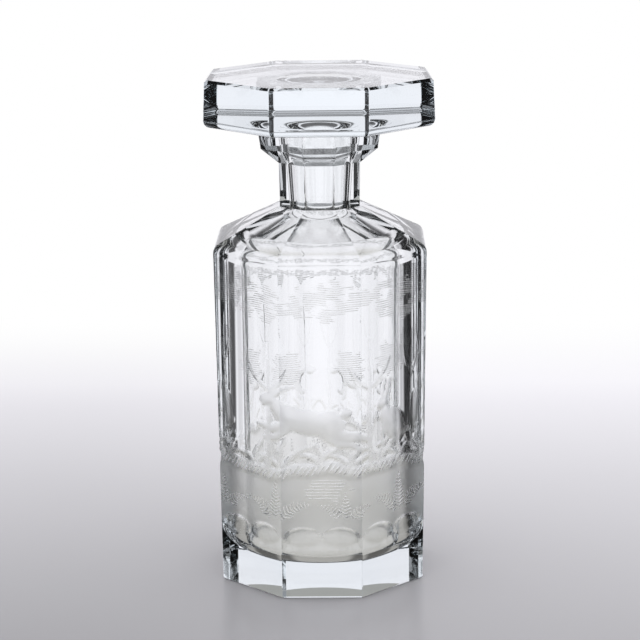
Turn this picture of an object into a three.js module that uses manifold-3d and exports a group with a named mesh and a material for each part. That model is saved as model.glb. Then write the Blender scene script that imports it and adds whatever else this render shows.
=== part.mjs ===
// A square-shouldered whisky decanter in heavy cut crystal, with its stopper.
// Two pieces of glass: the bottle, and a stopper whose ground plug stands in the bottle's neck.
// Millimetres, +Z up. The origin is the middle of the underside, and +Y points away from the front.
import * as THREE from 'three';
import { mergeVertices } from 'three/addons/utils/BufferGeometryUtils.js';
import Module from 'manifold-3d';

// Outside of the bottle: eight flat faces, cut by hand, so that the sides are wider than the front
const footAcross = 90; // just above the bevel, from one flat face to the opposite one
const wallTopAcross = 92.7;
const bodyFrontWidth = 35.4; // the front and back faces, from ridge to ridge
const bodySideWidth = 42; // the left and right faces, from ridge to ridge
const wallHeight = 153.2; // to where the wall and the shoulder would meet in a sharp corner
const footBevel = 0.9;
const shoulderSlope = 27.8; // degrees below level
const shoulderRounding = 4.6;
const neckFootAcross = 34.9;
const neckTopAcross = 35.5;
const neckFrontWidth = 13.3;
const neckHeight = 19.4;
const lipAcross = 50.9;
const lipTopAcross = 54;
const lipFrontWidth = 14.5;
const lipFlareHeight = 6.4;
const lipBandHeight = 10.5;

// Hollow of the bottle: round all the way up
const wallThickness = 7;
const floorThickness = 13.5;
const shoulderThickness = 5.2; // at the hollow's wall
const hollowSlope = 20.5; // degrees below level, of the hollow's own shoulder
const floorRounding = 7;
const hollowRounding = 10; // between the hollow's wall and its shoulder
const boreFootDiameter = 17.8;
const boreTopDiameter = 23.8;
const boreFootRounding = 9;
const mouthRounding = 6.5;

// Stopper: an eight-sided slab on a tapered round plug
const slabTopAcross = 97.8;
const slabFootAcross = 99.6;
const slabFrontWidth = 41.8;
const slabSideWidth = 39.6;
const slabThickness = 20.6;
const slabTopBevel = 1.1;
const slabFootRounding = 3.4;
const slabNarrowing = 0.054; // share of its width that the slab would lose over its whole depth
const plugLength = 37;
const plugEndRounding = 1.5;
const plugClearance = 0.3; // between the plug and the bore, and between the slab and the lip
const stopperTurn = 0.7; // degrees that the slab's faces are out of line with the bottle's, seen from above

// Thumb cuts: a row of shallow ovals ground into the wall above the foot
const cutHeight = 9.3;
const cutDepth = 0.8;
const cutMiddle = 28.8; // height of the row above the foot
const cutMargin = 1.1; // flat left beside each ridge of the body
const cutsPerFace = 2;
const cutterBulge = 4; // half thickness of the grinding shape, in depths of the cut

// How finely the round shapes are divided
const roundSides = 64;
const roundArcSteps = 6;
const facedArcSteps = 3;
const cutterSides = 20;

const glass = {
  color: 0xe9eeec,
  roughness: 0.04,
  metalness: 0,
  transparent: true,
  opacity: 0.4,
  flatShading: true,
};
const radians = THREE.MathUtils.degToRad;
const wasm = await Module();
wasm.setup();

// Heights that follow from the sizes above
const shoulderFall = Math.tan(radians(shoulderSlope));
const shoulderZ = (reach) => wallHeight + (wallTopAcross / 2 - reach) * shoulderFall;
const neckFootZ = shoulderZ(neckFootAcross / 2);
const neckTopZ = neckFootZ + neckHeight;
const lipBandZ = neckTopZ + lipFlareHeight;
const lipTopZ = lipBandZ + lipBandHeight;
const slabFootZ = lipTopZ + plugClearance;
const slabTopZ = slabFootZ + slabThickness;
const plugEndZ = slabFootZ - plugLength;

// Radii of the tapered bore and of the round hollow
const boreFoot = boreFootDiameter / 2;
const boreTop = boreTopDiameter / 2;
const cavityRadius = footAcross / 2 - wallThickness;
const shoulderDrop = shoulderThickness / Math.cos(radians(shoulderSlope));
const hollowFall = Math.tan(radians(hollowSlope));
const innerSlopeZ = (radius) => shoulderZ(cavityRadius) - shoulderDrop + (cavityRadius - radius) * hollowFall;
const boreFootZ = innerSlopeZ(boreFoot);
const mouthFootZ = lipTopZ - mouthRounding;
const boreTaper = (boreTop - boreFoot) / (mouthFootZ - boreFootZ);
const boreRadius = (z) => boreFoot + (z - boreFootZ) * boreTaper;

// How far the four corner faces are drawn out sideways, for the widths of the other four
function cornerStretch(across, front, side) {
  return (across - front) / (across - side);
}

const bodyStretch = cornerStretch(footAcross, bodyFrontWidth, bodySideWidth);

// Turns a closed geometry into a solid that can be cut and joined
function toSolid(geometry) {
  geometry.deleteAttribute('normal');
  geometry.deleteAttribute('uv');
  const merged = mergeVertices(geometry);
  const corners = merged.index.array;
  const triVerts = [];
  for (let i = 0; i < corners.length; i += 3) {
    const [a, b, c] = [corners[i], corners[i + 1], corners[i + 2]];
    if (a !== b && b !== c && c !== a) triVerts.push(a, b, c);
  }
  return new wasm.Manifold(new wasm.Mesh({
    numProp: 3,
    vertProperties: new Float32Array(merged.attributes.position.array),
    triVerts: new Uint32Array(triVerts),
  }));
}

function toMesh(solid, name) {
  const { vertProperties, triVerts } = solid.getMesh();
  const geometry = new THREE.BufferGeometry();
  geometry.setAttribute('position', new THREE.BufferAttribute(vertProperties, 3));
  geometry.setIndex(new THREE.BufferAttribute(triVerts, 1));
  geometry.computeVertexNormals();
  const mesh = new THREE.Mesh(geometry, new THREE.MeshStandardMaterial(glass));
  mesh.name = name;
  return mesh;
}

// A solid turned about the upright axis from [radius, height] points listed upwards
function turned(points, sides) {
  const axisFoot = new THREE.Vector2(0, points[0][1]);
  const axisTop = new THREE.Vector2(0, points.at(-1)[1]);
  const outline = [axisFoot, ...points.map(([r, z]) => new THREE.Vector2(r, z)), axisTop];
  const steps = outline.filter((point, i) => i === 0 || !point.equals(outline[i - 1]));
  return new THREE.LatheGeometry(steps, sides).rotateX(Math.PI / 2);
}

// Eight flat faces: a square block whose corners are cut away by a diamond-shaped one. A level
// gives its height, its size across the flats, the width of its front face, and how far a bevel
// has brought all eight faces in.
function eightFaces(levels, stretch) {
  const square = levels.map(({ z, across, inset = 0 }) => [
    (across / 2 - inset) * Math.SQRT2, z,
  ]);
  const diamond = levels.map(({ z, across, front, inset = 0 }) => [
    across / 2 + (front / 2 - inset * Math.hypot(1, stretch)) / stretch, z,
  ]);
  return toSolid(turned(square, 4).rotateZ(Math.PI / 4))
    .intersect(toSolid(turned(diamond, 4).scale(stretch, 1, 1)));
}

// Rounds the corners of a [radius, height, rounding] outline with arcs
function rounded(outline, arcSteps = roundArcSteps) {
  return outline.flatMap(([r, z, rounding = 0], i) => {
    if (!rounding) return [[r, z]];
    const corner = new THREE.Vector2(r, z);
    const before = new THREE.Vector2(...outline[i - 1]).sub(corner).normalize();
    const after = new THREE.Vector2(...outline[i + 1]).sub(corner).normalize();
    const halfAngle = Math.acos(before.dot(after)) / 2;
    const bisector = before.clone().add(after).normalize();
    const centre = corner.clone().addScaledVector(bisector, rounding / Math.sin(halfAngle));
    const start = corner.clone().addScaledVector(before, rounding / Math.tan(halfAngle)).sub(centre);
    const sweep = (Math.PI - 2 * halfAngle) * Math.sign(before.cross(after)) * -1;
    return Array.from({ length: arcSteps + 1 }, (_, step) => {
      const point = start.clone().rotateAround(new THREE.Vector2(), (sweep * step) / arcSteps);
      return point.add(centre).toArray();
    });
  });
}

// A quarter round that opens upwards from a shaft into a flat face, as the mouth of the bore does
function flare(startRadius, startZ, rounding) {
  return Array.from({ length: roundArcSteps + 1 }, (_, step) => {
    const angle = (Math.PI / 2) * (step / roundArcSteps);
    return [startRadius + rounding * (1 - Math.cos(angle)), startZ + rounding * Math.sin(angle)];
  });
}

function bottleOutside() {
  const body = { across: footAcross, front: bodyFrontWidth };
  const wallTopReach = wallTopAcross / 2;
  const shoulderArc = rounded([
    [footAcross / 2, footBevel],
    [wallTopReach, wallHeight, shoulderRounding],
    [neckFootAcross / 2, neckFootZ],
  ], facedArcSteps).slice(1, -1);
  const shoulder = shoulderArc.map(([reach, z]) => ({
    z, across: wallTopAcross, front: bodyFrontWidth, inset: wallTopReach - reach,
  }));
  return eightFaces([
    { z: 0, ...body, inset: footBevel },
    { z: footBevel, ...body },
    ...shoulder,
    { z: neckFootZ, across: neckFootAcross, front: neckFrontWidth },
    { z: neckTopZ, across: neckTopAcross, front: neckFrontWidth },
    { z: lipBandZ, across: lipAcross, front: lipFrontWidth },
    { z: lipTopZ, across: lipTopAcross, front: lipFrontWidth },
  ], bodyStretch);
}

function bottleHollow() {
  const below = rounded([
    [0, floorThickness],
    [cavityRadius, floorThickness, floorRounding],
    [cavityRadius, innerSlopeZ(cavityRadius), hollowRounding],
    [boreFoot, boreFootZ, boreFootRounding],
    [boreTop, mouthFootZ],
  ]);
  const mouth = flare(boreTop, mouthFootZ, mouthRounding);
  const [mouthRadius] = mouth.at(-1);
  return toSolid(turned([...below, ...mouth, [mouthRadius, slabFootZ]], roundSides));
}

// The eight ridges of the body at the height of the thumb cuts, in order round it
function ridgesAtCuts() {
  const reach = THREE.MathUtils.lerp(footAcross, wallTopAcross, cutMiddle / wallHeight) / 2;
  const front = bodyFrontWidth / 2;
  const side = reach - (reach - front) / bodyStretch;
  const quarter = [[front, -reach], [reach, -side], [reach, side], [front, reach]];
  const ridges = [...quarter, ...quarter.map(([x, y]) => [-x, -y])];
  return ridges.map(([x, y]) => new THREE.Vector2(x, y));
}

// One grinding shape for each thumb cut, set so that it bites cutDepth into its face
function thumbCutters() {
  const halfThickness = cutDepth * cutterBulge;
  const spread = Math.sqrt(1 - (1 - 1 / cutterBulge) ** 2);
  const ridges = ridgesAtCuts();
  return ridges.flatMap((ridge, i) => {
    const next = ridges[(i + 1) % ridges.length];
    const along = next.clone().sub(ridge);
    const outward = new THREE.Vector2(along.y, -along.x).normalize();
    const cutWidth = (along.length() - 2 * cutMargin) / cutsPerFace;
    return Array.from({ length: cutsPerFace }, (_, place) => {
      const cutsFromMiddle = place - (cutsPerFace - 1) / 2;
      const middle = ridge.clone().lerp(next, 0.5)
        .add(along.clone().setLength(cutsFromMiddle * cutWidth))
        .addScaledVector(outward, halfThickness - cutDepth);
      const cutter = new THREE.SphereGeometry(1, cutterSides, cutterSides / 2)
        .scale(cutWidth / 2 / spread, halfThickness, cutHeight / 2 / spread)
        .rotateZ(along.angle())
        .translate(middle.x, middle.y, cutMiddle);
      return toSolid(cutter);
    });
  });
}

function buildBottle() {
  let bottle = bottleOutside().subtract(bottleHollow());
  for (const cutter of thumbCutters()) bottle = bottle.subtract(cutter);
  return toMesh(bottle, 'bottle');
}

// Draws the slab in towards its back, from its widest place on
function narrowed(slab) {
  const widestY = -slabSideWidth / 2;
  return slab.warp((point) => {
    const share = Math.max(0, point[1] - widestY) / slabFootAcross;
    point[0] *= 1 - slabNarrowing * share;
  });
}

function stopperSlab() {
  const stretch = cornerStretch(slabTopAcross, slabFrontWidth, slabSideWidth);
  const size = (z) => ({
    z,
    across: THREE.MathUtils.mapLinear(z, slabFootZ, slabTopZ, slabFootAcross, slabTopAcross),
    front: slabFrontWidth,
  });
  const foot = Array.from({ length: facedArcSteps + 1 }, (_, step) => {
    const angle = (Math.PI / 2) * (step / facedArcSteps);
    return {
      ...size(slabFootZ + slabFootRounding * (1 - Math.cos(angle))),
      inset: slabFootRounding * (1 - Math.sin(angle)),
    };
  });
  return narrowed(eightFaces([
    ...foot,
    size(slabTopZ - slabTopBevel),
    { ...size(slabTopZ), inset: slabTopBevel },
  ], stretch));
}

// The plug follows the bore, one clearance inside it, and flares into the slab as the mouth does
function stopperPlug() {
  const shaft = rounded([
    [0, plugEndZ],
    [boreRadius(plugEndZ) - plugClearance, plugEndZ, plugEndRounding],
    [boreTop - plugClearance, mouthFootZ],
  ]);
  const cove = flare(boreTop - plugClearance, mouthFootZ, mouthRounding + plugClearance);
  const [coveRadius] = cove.at(-1);
  const insideSlab = slabFootZ + slabThickness / 2;
  return toSolid(turned([...shaft, ...cove, [coveRadius, insideSlab]], roundSides));
}

function buildStopper() {
  return toMesh(stopperSlab().rotate([0, 0, stopperTurn]).add(stopperPlug()), 'stopper');
}

const decanter = new THREE.Group();
decanter.add(buildBottle(), buildStopper());

export default decanter;
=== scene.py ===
import math

import bmesh
import bpy
import numpy as np
from bpy.props import FloatProperty, FloatVectorProperty, IntProperty, PointerProperty
from mathutils import Matrix, Vector


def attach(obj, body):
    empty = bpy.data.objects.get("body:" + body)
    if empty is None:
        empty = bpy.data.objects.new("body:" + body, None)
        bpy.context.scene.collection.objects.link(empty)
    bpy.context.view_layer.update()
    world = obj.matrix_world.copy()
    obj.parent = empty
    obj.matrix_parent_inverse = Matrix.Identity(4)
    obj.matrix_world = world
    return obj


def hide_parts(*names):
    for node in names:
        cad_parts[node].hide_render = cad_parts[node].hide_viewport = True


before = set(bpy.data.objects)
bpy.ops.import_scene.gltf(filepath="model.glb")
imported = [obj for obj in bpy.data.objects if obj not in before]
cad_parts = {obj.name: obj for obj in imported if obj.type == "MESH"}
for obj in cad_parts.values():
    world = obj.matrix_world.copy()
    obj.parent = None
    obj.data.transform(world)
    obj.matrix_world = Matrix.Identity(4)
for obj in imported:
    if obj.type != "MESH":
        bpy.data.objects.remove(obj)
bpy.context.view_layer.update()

bl_info = {
    "name": "Crystal Decanter",
    "version": (1, 0, 0),
    "blender": (4, 5, 0),
    "location": "View3D > Sidebar > Decanter",
    "description": "Builds a cut and engraved crystal decanter with its stopper, and a studio for it",
    "category": "Object",
}


def length(name, description, default):
    """A length in metres."""
    return FloatProperty(name=name, description=description, default=default, unit="LENGTH", precision=5)


def angle(name, description, default):
    """An angle in radians."""
    return FloatProperty(name=name, description=description, default=default, unit="ROTATION")


def tint(name, description, default):
    """A colour of the glass."""
    return FloatVectorProperty(
        name=name, description=description, subtype="COLOR", default=default, min=0, max=1)


class BottleSizes(bpy.types.PropertyGroup):
    """Sizes of the bottle, outside and inside"""
    foot_across: length("Foot across", "From one flat face to the opposite one, above the foot's bevel", 0.090)
    wall_top_across: length("Wall top across", "The same where the wall meets the shoulder", 0.0927)
    front_width: length("Front width", "Width of the front and back faces", 0.0354)
    side_width: length("Side width", "Width of the left and right faces", 0.042)
    wall_height: length("Wall height", "Height at which wall and shoulder would meet", 0.1532)
    foot_bevel: length("Foot bevel", "Bevel round the underside", 0.0009)
    shoulder_slope: angle("Shoulder slope", "Fall of the shoulder below level", math.radians(27.8))
    shoulder_rounding: length("Shoulder rounding", "Radius between wall and shoulder", 0.0046)
    neck_foot_across: length("Neck foot across", "Across the flats where the neck leaves the shoulder", 0.0349)
    neck_top_across: length("Neck top across", "Across the flats under the lip", 0.0355)
    neck_front_width: length("Neck face", "Width of the neck's front face", 0.0133)
    neck_height: length("Neck height", "From the shoulder to the lip", 0.0194)
    lip_across: length("Lip across", "Across the flats at the foot of the lip's band", 0.0509)
    lip_top_across: length("Lip top across", "Across the flats at the top", 0.054)
    lip_front_width: length("Lip face", "Width of the lip's front face", 0.0145)
    lip_flare_height: length("Lip flare", "Height over which the neck flares into the lip", 0.0064)
    lip_band_height: length("Lip band", "Height of the lip's band", 0.0105)
    ridge_width: length("Ridge width", "Width of the polished ridge between two faces", 0.00015)
    wall_thickness: length("Wall thickness", "From the flat face to the round hollow", 0.007)
    floor_thickness: length("Floor thickness", "Solid glass under the hollow", 0.0135)
    shoulder_thickness: length("Shoulder thickness", "Glass between shoulder and hollow, at its wall", 0.0052)
    hollow_slope: angle("Hollow slope", "Fall of the hollow's own shoulder below level", math.radians(20.5))
    floor_rounding: length("Floor rounding", "Radius at the hollow's floor", 0.007)
    hollow_rounding: length("Hollow rounding", "Radius between the hollow's wall and its shoulder", 0.010)
    bore_foot_diameter: length("Bore foot", "Diameter at the bore's foot", 0.0178)
    bore_top_diameter: length("Bore top", "Diameter at the bore's top", 0.0238)
    bore_foot_rounding: length("Bore foot rounding", "Radius where the hollow turns into the bore", 0.009)
    mouth_rounding: length("Mouth rounding", "Radius of the mouth's flare", 0.0065)


class StopperSizes(bpy.types.PropertyGroup):
    """Sizes of the stopper"""
    top_across: length("Top across", "Slab from one flat face to the opposite one, at the top", 0.0978)
    foot_across: length("Foot across", "The same at the underside", 0.0996)
    front_width: length("Front width", "Width of the slab's front and back faces", 0.0418)
    side_width: length("Side width", "Width of the slab's left and right faces", 0.0396)
    thickness: length("Thickness", "Thickness of the slab", 0.0206)
    top_bevel: length("Top bevel", "Bevel round the top", 0.0011)
    foot_rounding: length("Foot rounding", "Radius round the underside", 0.0034)
    ridge_width: length("Ridge width", "Width of the polished ridge between two faces", 0.0003)
    plug_length: length("Plug length", "From the slab's underside to the plug's end", 0.037)
    plug_end_rounding: length("Plug end rounding", "Radius round the plug's end", 0.0015)
    clearance: length("Clearance", "Between plug and bore, and between slab and lip", 0.0003)
    narrowing: FloatProperty(
        name="Narrowing", description="Share of its width that the slab would lose over its whole depth",
        default=0.054)
    turn: angle("Turn", "How far the slab's faces are out of line with the bottle's", math.radians(0.7))


class EngravingSizes(bpy.types.PropertyGroup):
    """Sizes of what is ground into the wall"""
    grid_pitch: length("Grid pitch", "Spacing of the fine mesh that carries the engraving", 0.00072)
    low: length("Low edge", "Height at which the fine mesh begins", 0.0215)
    high: length("High edge", "Height at which the fine mesh ends", 0.1485)
    cut_middle: length("Thumb cut middle", "Height of the row of thumb cuts", 0.0288)
    cut_height: length("Thumb cut height", "Height of a thumb cut", 0.0093)
    cut_depth: length("Thumb cut depth", "Depth of a thumb cut", 0.0008)
    cut_margin: length("Thumb cut margin", "Between a face's last thumb cut and its ridge", 0.0011)
    cuts_per_face: IntProperty(name="Thumb cuts", description="Thumb cuts on each face", default=2)
    ground_height: length("Ground height", "Mean height of the matt ground's upper border", 0.0615)
    canopy_height: length("Canopy height", "Height of the middle of the leaf canopy", 0.134)
    stroke_pitch: length("Stroke pitch", "Spacing of the fine engraved strokes", 0.00095)
    seed: IntProperty(name="Seed", description="Changes how grass, ferns and leaves fall", default=4)


class GlassFinish(bpy.types.PropertyGroup):
    """The glass"""
    colour: tint("Glass colour", "Tint of the crystal", (0.99, 0.995, 0.992))
    ior: FloatProperty(
        name="Index of refraction", description="How strongly the crystal bends light", default=1.545)
    depth_colour: tint("Depth colour", "Tint that builds up through the thickness", (0.78, 0.9, 0.96))
    depth_density: FloatProperty(
        name="Depth density", description="How fast the depth colour builds up, for each metre", default=4.0)
    matt_roughness: FloatProperty(
        name="Matt roughness", description="Roughness of the fully matt ground", default=0.5, subtype="FACTOR")


class StudioSettings(bpy.types.PropertyGroup):
    """Camera and table"""
    camera_place: FloatVectorProperty(
        name="Camera", description="Where the camera stands", subtype="TRANSLATION",
        default=(0.0125, -0.8688, 0.3351))
    camera_yaw: angle("Yaw", "Turn of the camera from looking along +Y", 0.015)
    camera_pitch: angle("Pitch", "How far down the camera looks", 0.248)
    camera_roll: angle("Roll", "Turn of the camera about its own axis", -0.010)
    camera_lens: FloatProperty(
        name="Lens", description="Focal length of the camera, in millimetres", default=112.5)
    foot_gap: length("Foot gap", "Air between the slightly hollow foot and the table", 0.0002)


MM = 0.001
CLOSE = 1e-6  # places and heights nearer than this are the same
ROUND_SIDES = 128
ARC_STEPS = 12
FACED_ARC_STEPS = 8
FLAT_ANGLE = 0.01  # faces that meet at less than this are one flat face
RIDGE_ANGLE = math.radians(16)  # and faces that meet at more than this make a sharp edge
ROUND_END_AREAS = 3  # a face beside a round stretch is over this many times as large as the stretch's own
ENGRAVED_LAYERS = ("matt", "hatch", "lines")
UNROLLED_LAYER = "unrolled"


def rounded(outline, arc_steps=ARC_STEPS):
    """The (radius, height, rounding) outline with an arc at each corner that has a rounding."""
    points = []
    for i, (radius, height, rounding) in enumerate(outline):
        corner = Vector((radius, height))
        if not rounding:
            points.append(corner)
            continue
        before = (Vector(outline[i - 1][:2]) - corner).normalized()
        after = (Vector(outline[i + 1][:2]) - corner).normalized()
        half = before.angle(after) / 2
        centre = corner + (before + after).normalized() * rounding / math.sin(half)
        start = corner + before * rounding / math.tan(half) - centre
        sweep = (math.pi - 2 * half) * math.copysign(1, after.cross(before))
        for step in range(arc_steps + 1):
            points.append(centre + Matrix.Rotation(sweep * step / arc_steps, 2) @ start)
    return points


def quarter_turn(steps):
    """Angles from nought to a right angle, in even steps."""
    return [math.pi / 2 * step / steps for step in range(steps + 1)]


def quarter_flare(radius, height, rounding):
    """A quarter round that opens upwards, from a shaft into a flat face."""
    return [
        Vector((radius + rounding * (1 - math.cos(a)), height + rounding * math.sin(a)))
        for a in quarter_turn(ARC_STEPS)]


def corner_stretch(across, front, side):
    """How far the four corner faces are drawn out sideways, for the widths of the other four."""
    return (across - front) / (across - side)


def eight_corners(across, front, stretch, inset=0.0):
    """Corners of a block whose four corners are cut off, in order from the front face's right end."""
    reach = across / 2 - inset
    skew = math.hypot(1, stretch)
    diamond = across / 2 + (front / 2 - inset * skew) / stretch
    front_half = stretch * (diamond - reach)
    side_half = diamond - reach / stretch
    right_half = [
        Vector(p) for p in ((front_half, -reach), (reach, -side_half), (reach, side_half), (front_half, reach))]
    return right_half + [-p for p in right_half]


def ridged(corners, ridge_width):
    """The same outline with each corner cut to a narrow polished ridge."""
    outline = []
    for i, corner in enumerate(corners):
        before = corners[i - 1] - corner
        after = corners[(i + 1) % len(corners)] - corner
        outline += [corner + before.normalized() * ridge_width, corner + after.normalized() * ridge_width]
    return outline


def add_ring(bm, outline, height):
    """A closed ring of edges through the outline's points, at one height."""
    verts = bmesh.ops.create_circle(bm, segments=len(outline), radius=1)["verts"]
    for vert, point in zip(verts, outline):
        vert.co = (point.x, point.y, height)
    return list({edge for vert in verts for edge in vert.link_edges})


def stack_rings(bm, rings):
    """Bridges each ring to the next one. rings holds (outline, height) pairs, listed upwards."""
    loops = [add_ring(bm, outline, height) for outline, height in rings]
    for lower, upper in zip(loops, loops[1:]):
        bmesh.ops.bridge_loops(bm, edges=lower + upper)
    return loops


def add_round_part(bm, points):
    """Turns (radius, height) points into a round surface and adds it to the mesh."""
    part = bmesh.new()
    verts = [part.verts.new((p.x, 0, p.y)) for p in points]
    edges = [part.edges.new(pair) for pair in zip(verts, verts[1:])]
    bmesh.ops.spin(
        part, geom=verts + edges, cent=(0, 0, 0), axis=(0, 0, 1), dvec=(0, 0, 0),
        angle=math.tau, steps=ROUND_SIDES, use_merge=True, use_duplicate=False)
    bmesh.ops.remove_doubles(part, verts=part.verts, dist=CLOSE)
    keep_ridges_sharp(part)
    carrier = bpy.data.meshes.new("carrier")
    part.to_mesh(carrier)
    part.free()
    bm.from_mesh(carrier)
    bpy.data.meshes.remove(carrier)


def close_between(bm, height):
    """Fills the flat ring between the two open loops at one height."""
    edges = [
        e for e in bm.edges
        if e.is_boundary and all(abs(v.co.z - height) < CLOSE for v in e.verts)]
    bmesh.ops.triangle_fill(bm, edges=edges, use_beauty=True)


def keep_ridges_sharp(bm):
    """Smooths round surfaces, and keeps ridges and the ends of round stretches sharp."""
    for face in bm.faces:
        face.smooth = True
    for edge in bm.edges:
        if len(edge.link_faces) != 2:
            continue
        bend = edge.calc_face_angle(0)
        small, large = sorted(face.calc_area() for face in edge.link_faces)
        end_of_round = bend > FLAT_ANGLE and large > ROUND_END_AREAS * small
        edge.smooth = not (bend > RIDGE_ANGLE or end_of_round)


def finish_piece(bm, name, body, node, material):
    """Makes the mesh an object that rides on its body and stands for its CAD node."""
    bmesh.ops.recalc_face_normals(bm, faces=bm.faces)
    mesh = bpy.data.meshes.new(name)
    bm.to_mesh(mesh)
    bm.free()
    piece = bpy.data.objects.new(name, mesh)
    bpy.context.scene.collection.objects.link(piece)
    mesh.materials.append(material)
    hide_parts(node)
    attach(piece, body)


class BottleShape:
    """Heights and radii of the bottle that follow from its sizes."""

    def __init__(self, sizes):
        self.sizes = s = sizes
        self.stretch = corner_stretch(s.foot_across, s.front_width, s.side_width)
        self.fall = math.tan(s.shoulder_slope)
        self.neck_foot = self.shoulder(s.neck_foot_across / 2)
        self.neck_top = self.neck_foot + s.neck_height
        self.lip_band = self.neck_top + s.lip_flare_height
        self.lip_top = self.lip_band + s.lip_band_height
        self.hollow_reach = s.foot_across / 2 - s.wall_thickness
        self.bore_foot = s.bore_foot_diameter / 2
        self.bore_top = s.bore_top_diameter / 2
        self.bore_foot_height = self.inner_shoulder(self.bore_foot)
        self.mouth_foot = self.lip_top - s.mouth_rounding

    def shoulder(self, reach):
        """Height of the shoulder at a distance from the axis, over a flat face."""
        return self.sizes.wall_height + (self.sizes.wall_top_across / 2 - reach) * self.fall

    def inner_shoulder(self, radius):
        """Height of the hollow's shoulder at a distance from the axis."""
        s = self.sizes
        foot = self.shoulder(self.hollow_reach) - s.shoulder_thickness / math.cos(s.shoulder_slope)
        return foot + (self.hollow_reach - radius) * math.tan(s.hollow_slope)

    def bore_radius(self, height):
        """Radius of the tapered bore at a height."""
        taper = (self.bore_top - self.bore_foot) / (self.mouth_foot - self.bore_foot_height)
        return self.bore_foot + (height - self.bore_foot_height) * taper

    def outline(self, across, front, inset=0.0):
        """Outline of the bottle, in its own proportions and with its ridges."""
        return ridged(eight_corners(across, front, self.stretch, inset), self.sizes.ridge_width)

    def wall_across(self, height):
        """Across the flats of the tapered wall at a height."""
        s = self.sizes
        share = (height - s.foot_bevel) / (s.wall_height - s.foot_bevel)
        return s.foot_across + (s.wall_top_across - s.foot_across) * share

    def hollow(self):
        """Half section of the hollow, from the middle of its floor to the mouth."""
        s, radius = self.sizes, self.hollow_reach
        below = rounded([
            (0, s.floor_thickness, 0),
            (radius, s.floor_thickness, s.floor_rounding),
            (radius, self.inner_shoulder(radius), s.hollow_rounding),
            (self.bore_foot, self.bore_foot_height, s.bore_foot_rounding),
            (self.bore_top, self.mouth_foot, 0)])
        return below + quarter_flare(self.bore_top, self.mouth_foot, s.mouth_rounding)[1:]


def wall_rings(shape, engraving):
    """Rings of the outside, from the foot to the top of the lip."""
    s = shape.sizes
    reach = s.wall_top_across / 2
    arc = rounded([
        (s.foot_across / 2, s.foot_bevel, 0),
        (reach, s.wall_height, s.shoulder_rounding),
        (s.neck_foot_across / 2, shape.neck_foot, 0)], FACED_ARC_STEPS)[1:-1]
    body = [
        (shape.outline(s.foot_across, s.front_width, s.foot_bevel), 0.0),
        (shape.outline(s.foot_across, s.front_width), s.foot_bevel)]
    body += [
        (shape.outline(shape.wall_across(z), s.front_width), z) for z in (engraving.low, engraving.high)]
    body += [
        (shape.outline(s.wall_top_across, s.front_width, reach - point.x), point.y) for point in arc]
    top = [
        (shape.outline(s.neck_foot_across, s.neck_front_width), shape.neck_foot),
        (shape.outline(s.neck_top_across, s.neck_front_width), shape.neck_top),
        (shape.outline(s.lip_across, s.lip_front_width), shape.lip_band),
        (shape.outline(s.lip_top_across, s.lip_front_width), shape.lip_top)]
    return body + top


def refine_wall(bm, engraving):
    """Cuts the engraved stretch of the wall into a fine grid. Returns its faces."""
    low, high, pitch = engraving.low, engraving.high, engraving.grid_pitch
    narrow = 4 * pitch  # the polished ridges are narrower and stay whole

    def upright(edge):
        foot, head = sorted(v.co.z for v in edge.verts)
        return abs(foot - low) < CLOSE and abs(head - high) < CLOSE

    def inside(vert):
        return low - CLOSE < vert.co.z < high + CLOSE

    rows = round((high - low) / pitch)
    bmesh.ops.subdivide_edges(bm, edges=[e for e in bm.edges if upright(e)], cuts=rows - 1)
    level = [
        e for e in bm.edges
        if abs(e.verts[0].co.z - e.verts[1].co.z) < CLOSE and inside(e.verts[0]) and e.calc_length() > narrow]
    groups = {}
    for edge in level:
        cells = round(edge.calc_length() / pitch / 2) * 2
        groups.setdefault(cells, []).append(edge)
    for cells, edges in groups.items():
        bmesh.ops.subdivide_edges(bm, edges=edges, cuts=cells - 1, use_grid_fill=True)
    return [f for f in bm.faces if all(inside(v) for v in f.verts)]


class UnrolledWall:
    """The eight-sided wall laid flat, in millimetres. across runs round it from the front's middle, and up is
    the height."""

    FIRST = 4  # the corner that the faces are counted from, at the back
    FRONT = 3  # the front face's place in that count

    def __init__(self, points, corners):
        starts = np.array([corner[:] for corner in corners[self.FIRST:] + corners[:self.FIRST]]) / MM
        runs = np.roll(starts, -1, axis=0) - starts
        self.lengths = np.linalg.norm(runs, axis=1)
        along = runs / self.lengths[:, None]
        outward = np.column_stack([along[:, 1], -along[:, 0]])
        self.girth = self.lengths.sum()
        self.face_starts = np.cumsum(self.lengths) - self.lengths
        self.face_starts -= self.face_starts[self.FRONT] + self.lengths[self.FRONT] / 2
        plan = points[:, :2] / MM
        distances = plan @ outward.T / np.einsum("ij,ij->i", starts, outward)
        face = distances.argmax(axis=1)
        offset = np.einsum("ij,ij->i", plan - starts[face], along[face])
        self.across = self.face_starts[face] + np.clip(offset, 0, self.lengths[face])
        self.up = points[:, 2] / MM
        self.normals = outward[face]


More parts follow.
